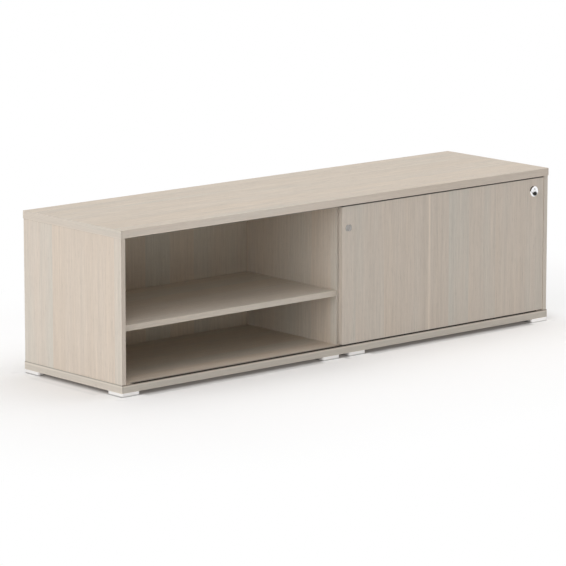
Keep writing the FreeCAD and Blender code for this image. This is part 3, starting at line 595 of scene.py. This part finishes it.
def solidsOf(node):
    # Closed meshes, one for each separate solid, from a CAD node's loose triangles.
    # Solids that touch share an edge of four faces, so only edges of two faces join a solid's own.
    whole = bmesh.new()
    whole.from_mesh(nodes[node].data)
    bmesh.ops.remove_doubles(whole, verts=whole.verts, dist=same)
    seen, found = set(), []
    for start in whole.faces:
        if start in seen:
            continue
        seen.add(start)
        group, queue = [start], [start]
        while queue:
            for edge in queue.pop().edges:
                for other in edge.link_faces if len(edge.link_faces) == 2 else ():
                    if other not in seen:
                        seen.add(other)
                        group.append(other)
                        queue.append(other)
        solid, corners = bmesh.new(), {}
        for face in group:
            for vert in face.verts:
                if vert.index not in corners:
                    corners[vert.index] = solid.verts.new(vert.co)
            solid.faces.new([corners[vert.index] for vert in face.verts])
        bmesh.ops.dissolve_limit(solid, angle_limit=math.radians(levelWithin), verts=solid.verts,
                                 edges=solid.edges)
        found.append(solid)
    whole.free()
    return found


def gathered(solids):
    together, carrier = bmesh.new(), bpy.data.meshes.new("carrier")
    for solid in solids:
        solid.to_mesh(carrier)
        solid.free()
        together.from_mesh(carrier)
    bpy.data.meshes.remove(carrier)
    return together


def span(solid):
    return [Vector([most(vert.co[axis] for vert in solid.verts) for axis in range(3)]) for most in (min, max)]


def roundEdges(solid, edges, sizes):
    bmesh.ops.bevel(solid, geom=edges, offset=sizes["radius"], segments=sizes["segments"],
                    profile=0.5, affect="EDGES", clamp_overlap=True)


def finishMesh(solid, name, material, body, node, smooth=None):
    # smooth: the angle in degrees over which an edge stays sharp
    mesh = bpy.data.meshes.new(name)
    solid.to_mesh(mesh)
    solid.free()
    if smooth:
        for face in mesh.polygons:
            face.use_smooth = True
        mesh.set_sharp_from_angle(angle=math.radians(smooth))
    mesh.materials.append(material)
    settle(addObject(name, mesh), body, node)


def addObject(name, mesh):
    piece = bpy.data.objects.new(name, mesh)
    bpy.context.scene.collection.objects.link(piece)
    return piece


def settle(piece, body, node):
    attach(piece, body)
    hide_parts(node)


def outerEdges(solid, kind, box):
    # Edges where two outer planes of the banding meet
    low, high = span(solid)
    if kind == "whole":
        planes = [(axis, corner[axis]) for corner in box for axis in range(3)]
    else:
        thin = 0 if high[0] - low[0] < high[2] - low[2] else 2
        planes = [(1, low[1]), (thin, low[thin]), (thin, high[thin])]
    chosen = []
    for edge in solid.edges:
        shared = [axis for axis, at in planes if all(abs(vert.co[axis] - at) < same for vert in edge.verts)]
        if len(shared) > 1 and (kind == "whole" or 1 in shared):
            chosen.append(edge)
    return chosen


def makeBands():
    for name, (node, kind, along, offset, tone, ends) in bands.items():
        solids, box, shades = solidsOf(node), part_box(node), bandShades.get(name, ())
        for solid in solids:
            roundEdges(solid, outerEdges(solid, kind, box), bandEdge)
        material = laminateMaterial("band_" + node, box, along, offset, tone, bandEdge["streaks"], ends,
                                    shades)
        body = "door" if name == "doorBands" else "case"
        finishMesh(gathered(solids), name, material, body, node)
    print("edge bands rounded")


# Turned parts: rings of a profile round an axis, with an outline other than round where a recess has one

def ringRadius(shape, radius, angle, narrow):
    if shape == "cross":
        reach, side = sorted((abs(math.cos(angle)), abs(math.sin(angle))), reverse=True)
        return radius / reach if side * radius < narrow * reach else narrow / side
    if shape == "slot":
        wide, tall = radius
        return min(wide / max(abs(math.cos(angle)), same), tall / max(abs(math.sin(angle)), same))
    return radius


def turnedSolid(profile, steps, middle=(0, 0, 0), narrow=0.0006):
    # profile: (radius, height towards the front) pairs from the front's centre round to the back's
    solid = bmesh.new()
    rings = []
    for entry in profile:
        radius, height = entry[:2]
        shape = entry[2] if len(entry) > 2 else "round"
        if radius == 0:
            rings.append([solid.verts.new((middle[0], middle[1] - height, middle[2]))])
            continue
        ring = []
        for step in range(steps):
            angle = 2 * math.pi * step / steps
            reach = ringRadius(shape, radius, angle, narrow)
            ring.append(solid.verts.new((middle[0] + reach * math.cos(angle), middle[1] - height,
                                         middle[2] + reach * math.sin(angle))))
        rings.append(ring)
    for first, second in zip(rings, rings[1:]):
        for step in range(steps):
            after = (step + 1) % steps
            corners = [first[step % len(first)], first[after % len(first)],
                       second[after % len(second)], second[step % len(second)]]
            corners = list(dict.fromkeys(corners))
            if len(corners) > 2:
                solid.faces.new(corners)
    bmesh.ops.recalc_face_normals(solid, faces=solid.faces)
    return solid


def rounded(radius, height, reach, steps=4):
    # Points of a quarter round at the rim of a face
    points = []
    for step in range(steps + 1):
        angle = math.pi / 2 * step / steps
        points.append((radius - reach + reach * math.sin(angle), height - reach + reach * math.cos(angle)))
    return points


# Lock: rosette with its barrel, plunger with its latch, key plug

lock = {
    "middle": (0.8345, -0.237, 0.439),   # on the door's front face
    "steps": 72,
    "sharp": 32,                         # degrees over which an edge stays sharp
    "bore": 0.00855,
    "rosette": 0.0175,
    "rosetteThick": 0.0035,
    "rosetteRound": 0.0012,
    "barrel": 0.0105,
    "barrelEnd": 0.021,
    "barrelFloor": 0.013,
    "latchBore": 0.00405,
    "latch": 0.004,
    "latchEnd": 0.0205,
    "plunger": 0.0085,
    "plungerFace": 0.0105,
    "plungerRound": 0.0008,
    "plungerBody": 0.004,
    "plug": 0.006,
    "plugBore": 0.00605,
    "plugEnd": 0.0005,
    "slotSize": (0.0011, 0.00375),       # half width, half height
    "slotDeep": 0.007,
    "boreEase": 0.0004,                  # small eased edges
    "plungerEase": 0.0002,
    "latchEase": 0.0006,
    "slotDrop": 0.0003,                  # the key plug's face inside its raised rim
    "slotRim": (0.0012, 0.0009),         # the rim's inner foot and top, from the plug's side
    "plugClear": 0.00005,                # keeps the plug's end off the floor of its recess
    # painted reflection and painted shadow on the chrome, then painted shade on the rosette's wall
    "darkShade": linear(50, 49, 47),
    "lean": (0.875, 0.144, 0.126),       # how the mirrored darkness slides over parts that stand proud
    "darkShadowAndReflection": ((0.0053, -0.0082), (0.0100, 0.0068), 1.0),     # middle, half size and amount
    "greySpot": ((0.0051, 0.0077), (0.0030, 0.0036), 0.3),
    "spotEdge": (0.7, 1.3),              # a patch fades out between these parts of its half size
    "rimShade": linear(92, 82, 72),
    "rimAim": (-0.70, 0.0, 0.71),        # to where the rosette's wall is darkest
    "rimSpan": (0.70, 0.86),             # cosine from there at which it begins and is full
    "rimWall": (0.0026, 0.0014),         # how far in from the rosette's side it begins and is full
    "rimLeast": 0.001,                   # nearer the middle than this the cosine isn't taken
}


def buildMirrorGroup():
    # Painted reflection: the dark and the grey patch mirrored in the chrome, slanted to where the viewer
    # stands;
    # the dark patch is also painted shadow below the plunger
    group, given, made = newGroup(
        "paintedReflections",
        [("Place", "Vector", None), ("Color", "Color", metals["chrome"]["colour"])],
        [("Color", "Color")],
    )
    colour = given["Color"]
    x, y, z = parts(group, vectorMaths(group, "SUBTRACT", given["Place"], lock["middle"]))
    side, drop, rise = lock["lean"]
    across = minus(group, x, times(group, y, side))
    up = plus(group, times(group, y, drop), times(group, x, rise))
    up = plus(group, z, up)
    for middle, half, amount in (lock["darkShadowAndReflection"], lock["greySpot"]):
        wide, tall = [maths(group, "DIVIDE", minus(group, value, middle[index]), half[index])
                      for index, value in enumerate((across, up))]
        reach = vectorMaths(group, "LENGTH", joined(group, wide, 0.0, tall))
        mask = remap(group, reach, *lock["spotEdge"], amount, 0.0, smooth=True)
        colour = mixColours(group, mask, colour, lock["darkShade"])
    feed(group, made, {"Color": colour})
    return group


mirrorGroup = buildMirrorGroup()


# painted reflection and shadow on the chrome
def chromePaintedReflection(tree, place, colour):
    return placeGroup(tree, mirrorGroup, {"Place": place, "Color": colour})["Color"]


def fromMiddle(tree, place, middle):
    # Offset from a round part's middle, as seen from the front, and its length
    x, y, z = parts(tree, vectorMaths(tree, "SUBTRACT", place, middle))
    flat = joined(tree, x, 0.0, z)
    return flat, vectorMaths(tree, "LENGTH", flat)


def rimShade(tree, place, colour):
    # Painted shade and reflection: the rosette's wall is dark towards the upper left
    flat, reach = fromMiddle(tree, place, lock["middle"])
    lean = vectorMaths(tree, "DOT_PRODUCT", flat, lock["rimAim"])
    lean = maths(tree, "DIVIDE", lean, maths(tree, "MAXIMUM", reach, lock["rimLeast"]))
    wall = [lock["rosette"] - inset for inset in lock["rimWall"]]
    mask = times(tree, remap(tree, lean, *lock["rimSpan"], smooth=True),
                 remap(tree, reach, *wall, smooth=True))
    return chromePaintedReflection(tree, place, mixColours(tree, mask, colour, lock["rimShade"]))


def makeLock():
    thick, face, bore, latch = lock["rosetteThick"], lock["plungerFace"], lock["bore"], lock["latch"]
    ring = [(bore, thick - lock["boreEase"]), (bore + lock["boreEase"], thick)]
    ring += rounded(lock["rosette"], thick, lock["rosetteRound"])
    ring += [(lock["rosette"], 0), (lock["barrel"], 0), (lock["barrel"], -lock["barrelEnd"]),
             (lock["latchBore"], -lock["barrelEnd"]), (lock["latchBore"], -lock["barrelFloor"]),
             (bore, -lock["barrelFloor"])]
    ring.append(ring[0])
    ease, end = lock["plungerEase"], -lock["plugEnd"]
    plugBore = lock["plugBore"]
    push = [(0, end), (plugBore, end), (plugBore, face - ease), (plugBore + ease, face)]
    push += rounded(lock["plunger"], face, lock["plungerRound"])
    push += [(lock["plunger"], -lock["plungerBody"]), (latch, -lock["plungerBody"]),
             (latch, -lock["latchEnd"] + lock["latchEase"]), (latch - lock["latchEase"], -lock["latchEnd"]),
             (0, -lock["latchEnd"])]
    floor, low, end = face - lock["slotDeep"], face - lock["slotDrop"], lock["plugClear"] - lock["plugEnd"]
    rimFoot, rimTop = (lock["plug"] - inset for inset in lock["slotRim"])
    plug = [(0, floor), (lock["slotSize"], floor, "slot"), (lock["slotSize"], low, "slot"),
            (rimFoot, low), (rimTop, face)]
    plug += rounded(lock["plug"], face, ease, 2)
    plug += [(lock["plug"], end), (0, end)]
    chrome, shaded = metalMaterial("chrome", rimShade), metalMaterial("chrome", chromePaintedReflection)
    for profile, name, material, body, node in (
        (ring, "lockRosette", chrome, "door", "lock_rosette"),
        (push, "lockPlunger", shaded, "lock_plunger", "lock_plunger"),
        (plug, "lockKeyPlug", shaded, "lock_key_plug", "lock_key_plug"),
    ):
        solid = turnedSolid(profile, lock["steps"], lock["middle"])
        finishMesh(solid, name, material, body, node, smooth=lock["sharp"])
    print("lock made")


# Finger pull: a spun cup with a thin flange

pull = {
    "middle": (0.0185, -0.237, 0.412),
    "steps": 64,
    "flange": 0.0125,
    "flangeThick": 0.0008,
    "cup": 0.011,
    "wall": 0.001,
    "deep": 0.010,
    "round": 0.002,
    "bendSteps": 5,
    "sharp": 40,                    # degrees over which an edge stays sharp
    "ease": 0.0006,                 # of the flange's edge and of the cup's mouth
    "mouth": (0.0002, 0.0001),      # the point between the cup's wall and its mouth's edge
    "flangeShade": linear(216, 204, 190),
    "flangeSpan": (0.0012, 0.0002, 0.9),    # begins inside the wall, is full outside the cup, amount
    # painted light: the cup is paler than the flange, against the shade of its recess
    "cupPaintedLight": linear(214, 211, 208),
}


def flangeTone(tree, place, colour):
    # Above and below, the thin flange takes on the tone of the door, and the cup is painted paler inside, as
    # painted light against the shade of its recess
    flat, reach = fromMiddle(tree, place, pull["middle"])
    rise = gapTo(tree, flat, 2, 0.0)
    inner = pull["cup"] - pull["wall"]
    before, beyond, most = pull["flangeSpan"]
    mask = remap(tree, rise, inner - before, pull["cup"] + beyond, 0.0, most, smooth=True)
    colour = mixColours(tree, mask, colour, pull["flangeShade"])
    return mixColours(tree, remap(tree, reach, inner, pull["cup"], 1.0, 0.0), colour, pull["cupPaintedLight"])


def makePull():
    deep, wall, bend, ease = pull["deep"], pull["wall"], pull["round"], pull["ease"]
    inner, thick, outward, below = pull["cup"] - wall, pull["flangeThick"], *pull["mouth"]
    turn = [math.pi / 2 * step / pull["bendSteps"] for step in range(pull["bendSteps"] + 1)]
    cup = [(0, wall - deep)]
    cup += [(inner - bend + bend * math.sin(a), wall - deep + bend - bend * math.cos(a)) for a in turn]
    cup += [(inner, thick - ease), (inner + outward, thick - below), (inner + ease, thick)]
    cup += rounded(pull["flange"], thick, ease, 3)
    cup += [(pull["flange"], 0), (pull["cup"], 0)]
    cup += [(pull["cup"] - bend + bend * math.cos(a), bend - deep - bend * math.sin(a)) for a in turn]
    cup.append((0, -deep))
    solid = turnedSolid(cup, pull["steps"], pull["middle"])
    finishMesh(solid, "fingerPull", metalMaterial("satin", flangeTone), "door", "finger_pull",
               smooth=pull["sharp"])
    print("finger pull made")


# Feet with eased edges

footEdge = {"radius": 0.0009, "segments": 2, "least": 0.6}      # least: sharpest edges only, in radians
footCorner = {"half": 0.035, "cadRound": 0.002, "round": 0.007}


def makeFeet():
    solids = solidsOf("feet")
    for solid in solids:
        # the CAD's small upright rounding is opened out to the softer one of the moulding
        low, high = span(solid)
        middle = (low + high) / 2
        start = footCorner["half"] - footCorner["cadRound"]
        inset = footCorner["half"] - footCorner["round"]
        for vert in solid.verts:
            away = [vert.co[axis] - middle[axis] for axis in (0, 1)]
            if min(abs(value) for value in away) > start - same:
                for axis in (0, 1):
                    grown = inset + (abs(away[axis]) - start) * footCorner["round"] / footCorner["cadRound"]
                    vert.co[axis] = middle[axis] + math.copysign(grown, away[axis])
        edges = [edge for edge in solid.edges
                 if len(edge.link_faces) == 2 and edge.calc_face_angle_signed() > footEdge["least"]]
        roundEdges(solid, edges, footEdge)
    finishMesh(gathered(solids), "cabinetFeet", mouldedMaterial("foot"), "case", "feet")
    print("feet made")


# Repeated small fittings: one turned part set on every point by Geometry Nodes

def buildSpreadTree():
    tree, given, made = newGroup(
        "setOnPoints",
        [
            ("Points", "Geometry", None),
            ("Piece", "Object", None),
            ("Size", "Float", 1.0),
            ("Turn spread", "Float", 0.0),
            ("Seed", "Int", 7),
            ("Finish", "Material", None),
        ],
        [("Fittings", "Geometry")],
        "GeometryNodeTree",
    )
    piece = wired(tree, "GeometryNodeObjectInfo", {"Object": given["Piece"]})["Geometry"]
    facing = wired(tree, "GeometryNodeInputNamedAttribute", {"Name": "facing"}, data_type="FLOAT_VECTOR")
    align = wired(tree, "FunctionNodeAlignRotationToVector", {"Vector": facing["Attribute"]}, axis="Y")[0]
    # each one is also turned by its own random angle about its axis
    most = given["Turn spread"]
    draw = {2: times(tree, most, -1.0), 3: most, "Seed": given["Seed"]}
    spin = wired(tree, "FunctionNodeRandomValue", draw, data_type="FLOAT")[1]
    turn = wired(tree, "FunctionNodeAxisAngleToRotation", {"Axis": (0, 1, 0), "Angle": spin})[0]
    both = wired(tree, "FunctionNodeRotateRotation", {0: align, 1: turn}, rotation_space="LOCAL")[0]
    spread = wired(tree, "GeometryNodeInstanceOnPoints", {
        "Points": given["Points"], "Instance": piece, "Rotation": both, "Scale": given["Size"],
    })[0]
    real = wired(tree, "GeometryNodeRealizeInstances", {0: spread})[0]
    paint = wired(tree, "GeometryNodeSetMaterial", {"Geometry": real, "Material": given["Finish"]})[0]
    feed(tree, made, {"Fittings": paint})
    return tree


spreadTree = buildSpreadTree()

fittings = {
    # profile: (radius, height, outline), from the front's centre; base: the height that lies on the surface
    "camCaps": {
        "node": "cam_caps", "slot": "cap_plastic", "finish": ("moulded", "cap"),
        "steps": 40, "spread": 0.5,
        "profile": ((0, 0.0003), (0.0018, 0.0003, "cross"), (0.0018, 0.0008, "cross"), (0.0062, 0.0008),
                    (0.0078, 0.0006), (0.0085, 0.0002), (0.0085, 0), (0, 0)),
        "narrow": 0.00045, "faceLeftBeyond": 0.1,       # past this X the caps face left
    },
    "footScrews": {
        "node": "foot_screws", "slot": "fitting_steel", "finish": ("metal", "zinc"),
        "steps": 40, "spread": 0.7,
        "profile": ((0, -0.0006), (0.0016, -0.0004, "cross"), (0.0024, 0.0012, "cross"), (0.0034, 0.0012),
                    (0.0039, 0.0008), (0.004, 0), (0.004, -0.0010), (0.0020, -0.0012), (0.0020, -0.0180),
                    (0.0010, -0.0192), (0, -0.0192)),
        "narrow": 0.0005, "seat": 0.0012,       # from the screw's lowest point
    },
}


def spansOf(node):
    # Lowest and highest corner of each separate solid of a node
    solids = solidsOf(node)
    spans = [span(solid) for solid in solids]
    for solid in solids:
        solid.free()
    return spans


def makeFittings():
    listed = spreadTree.interface.items_tree
    sockets = {item.name: item.identifier for item in listed if item.in_out == "INPUT"}
    for name, values in fittings.items():
        kind, label = values["finish"]
        finish = mouldedMaterial(label) if kind == "moulded" else metalMaterial(label)
        pattern = addObject(name + "Pattern", bpy.data.meshes.new(name + "Pattern"))
        solid = turnedSolid(values["profile"], values["steps"], narrow=values["narrow"])
        solid.to_mesh(pattern.data)
        solid.free()
        spots, facings = [], []
        for low, high in spansOf(values["node"]):
            middle = (low + high) / 2
            if "seat" in values:
                spots.append((middle[0], middle[1], low[2] + values["seat"]))
                facings += (0, 0, 1)
            else:
                right = middle[0] < values["faceLeftBeyond"]
                spots.append((low[0] if right else high[0], middle[1], middle[2]))
                facings += (-1 if right else 1, 0, 0)
        points = bpy.data.meshes.new(name + "Points")
        points.from_pydata(spots, [], [])
        points.attributes.new("facing", "FLOAT_VECTOR", "POINT").data.foreach_set("vector", facings)
        carrier = addObject(name + "Points", points)
        modifier = carrier.modifiers.new("setOnPoints", "NODES")
        modifier.node_group = spreadTree
        for socket, value in (("Piece", pattern), ("Turn spread", values["spread"]), ("Finish", finish)):
            modifier[sockets[socket]] = value
        graph = bpy.context.evaluated_depsgraph_get()
        mesh = bpy.data.meshes.new_from_object(carrier.evaluated_get(graph))
        carrier.modifiers.clear()
        for old in (carrier, pattern):
            bpy.data.objects.remove(old)
        mesh.name = name
        settle(addObject(name, mesh), "case", values["node"])
        print(name, "set on", len(spots), "points,", len(mesh.polygons), "faces")


def dressFittings():
    shared = (
        (mouldedMaterial("track"), ("bottom_track", "top_track")),
        (mouldedMaterial("guide"), ("roller_housings", "guide_sleeves")),
        (mouldedMaterial("roller"), ("left_roller", "right_roller", "left_guide_pin", "right_guide_pin")),
        (mouldedMaterial("buffer"), ("door_buffers",)),
        (metalMaterial("zinc"), ("lock_strike", "strike_screws", "lock_nut", "roller_axles", "shelf_pins",
                                 "cam_bolts", "cams")),
        (laminateMaterial("dowel_wood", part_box("dowels"), "Z", (0.2, 0.4, 0.1)), ("dowels",)),
    )
    for material, dressed in shared:
        for node in dressed:
            dress(node, material)
    print("fittings dressed")


# Floor and world

studio = {
    # broad soft lights: heading from -X towards -Y and height in degrees, sharpness, strength
    "lights": ((0, 20, 6, 1.877), (30, 20, 6, 1.033), (0, 90, 4, 1.135), (180, 55, 6, 1.408)),
    "floorLight": 0.86,          # colour of the floor for the light that it throws back
    "floorSeen": (1.0, 0.99, 0.985, 1),
    "fade": (0.10, 1.1),         # distance from the cabinet over which the floor fades to white
    "fadeHalf": (0.88, 0.24, 0.0),
    "caseHalf": (0.9, 0.24, 0.0),
    "floorReach": 60,
    # painted light: towards the right end and the back, the cabinet's shadow on the floor fades out to white
    "sideFades": ((0, 0.90, 1.04, 0.62), (1, 0.20, 0.75, 0.65)),    # axis, from, to, most
    # beside the cabinet, in front and at its left end: the floor's tone as a painted shadow, how far out it
    # clears, and the painted light that fills the gap under the deck, with where it starts and stops to fall
    # off
    "nearFront": (0.40, 0.030, 0.095, 0.0, 0.020),
    "nearLeft": (0.72, 0.046, 0.24, 0.0, 0.036),
    "liftColour": (1.0, 0.90, 0.84, 1),
    "leftSpan": (-0.92, -0.88),     # in X, from the left end's values to the front's
    "feet": ((0.865, 0.055), 0.205, 0.035, (0.003, 0.020)),     # middles in X and Y, half size, edge
    "feetClear": 0.004,             # out from the cabinet, over which the clearing begins
}


def floorDistance(tree, half):
    # How far a point of the floor lies outside a rectangle
    outside = vectorMaths(tree, "SUBTRACT", vectorMaths(tree, "ABSOLUTE", objectPlace(tree)), half)
    return vectorMaths(tree, "LENGTH", vectorMaths(tree, "MAXIMUM", outside))


def footGap(tree, near):
    # How far a point beside the cabinet lies along it from the nearest foot
    middles, middle, half, edge = studio["feet"]
    away = vectorMaths(tree, "ABSOLUTE", objectPlace(tree))
    first, second = [gapTo(tree, away, 0, at) for at in middles]
    deep = gapTo(tree, away, 1, middle)
    sides = [maths(tree, "MAXIMUM", minus(tree, value, half), 0.0)
             for value in (maths(tree, "MINIMUM", first, second), deep)]
    return minus(tree, plus(tree, *sides), near)


def mixShaders(tree, factor, first, second):
    return wired(tree, "ShaderNodeMixShader", {0: factor, 1: first, 2: second})[0]


def makeFloor():
    mesh = bpy.data.meshes.new("studioFloor")
    reach = studio["floorReach"]
    mesh.from_pydata([(-reach, -reach, 0), (reach, -reach, 0), (reach, reach, 0), (-reach, reach, 0)], [],
                     [(0, 1, 2, 3)])
    material, tree, shader = newMaterial("floorPaint")
    tree.nodes.remove(shader)
    far, near = floorDistance(tree, studio["fadeHalf"]), floorDistance(tree, studio["caseHalf"])
    fade = remap(tree, far, *studio["fade"], smooth=True)
    place = parts(tree, objectPlace(tree))
    # painted light: the cabinet's shadow on the floor fades out to white towards the right end and the back
    for axis, start, end, most in studio["sideFades"]:
        fade = maths(tree, "MAXIMUM", fade, remap(tree, place[axis], start, end, 0.0, most, smooth=True))
    left = remap(tree, place[0], *studio["leftSpan"], 1.0, 0.0)
    # painted shadow on the floor next to the cabinet, and painted light in the gap under the deck
    tones, lifts = [], []
    for start, clear, lift, full, gone in (studio["nearFront"], studio["nearLeft"]):
        tones.append(remap(tree, near, 0.0, clear, start, 1.0))
        lifts.append(remap(tree, near, full, gone, lift, 0.0, smooth=True))
    tone, lift = (remap(tree, left, 0.0, 1.0, *pair) for pair in (tones, lifts))
    # straight out from each foot the painted shadow and the painted light are cleared from the floor
    clear = remap(tree, footGap(tree, near), *studio["feet"][3], 1.0, 0.0, smooth=True)
    clear = times(tree, clear, remap(tree, near, 0.0, studio["feetClear"]))
    tone = remap(tree, clear, 0.0, 1.0, tone, 1.0)
    lift = remap(tree, clear, 0.0, 1.0, lift, 0.0)
    level = studio["floorLight"]
    plain = wired(tree, "ShaderNodeBsdfDiffuse", {"Color": (level, level, level, 1)})[0]
    seen = wired(tree, "ShaderNodeBsdfDiffuse", {"Color": scaled(tree, studio["floorSeen"][:3], tone)})[0]
    fill = wired(tree, "ShaderNodeEmission", {"Strength": lift, "Color": studio["liftColour"]})[0]
    filled = wired(tree, "ShaderNodeAddShader", {0: seen, 1: fill})[0]
    white = addNode(tree, "ShaderNodeEmission").outputs[0]
    ground = mixShaders(tree, fade, filled, white)
    shown = mixShaders(tree, seenDirectly(tree), plain, ground)
    feed(tree, tree.nodes["Material Output"].inputs, {"Surface": shown})
    mesh.materials.append(material)
    addObject("studioFloor", mesh)


def makeWorld():
    world = bpy.data.worlds.new("studioWorld")
    bpy.context.scene.world = world
    world.use_nodes = True
    tree = world.node_tree
    heading = addNode(tree, "ShaderNodeTexCoord").outputs["Generated"]
    total = 0.0
    for turn, height, power, strength in studio["lights"]:
        turn, height = math.radians(turn), math.radians(height)
        aim = (-math.cos(turn) * math.cos(height), -math.sin(turn) * math.cos(height), math.sin(height))
        facing = maths(tree, "MAXIMUM", vectorMaths(tree, "DOT_PRODUCT", heading, aim), 0.0)
        glow = times(tree, maths(tree, "POWER", facing, power), strength)
        total = plus(tree, glow, total)
    shown = mixColours(tree, seenDirectly(tree), joined(tree, total, total, total), (1, 1, 1, 1))
    feed(tree, tree.nodes["Background"].inputs, {"Color": shown, "Strength": 1.0})


makeCamera()
print("camera made")
makeFloor()
makeWorld()
bpy.context.scene.view_settings.view_transform = "Standard"
print("floor and world made")
dressBoards()
makeBands()
makeLock()
makePull()
makeFeet()
makeFittings()
dressFittings()

print("scene finished")
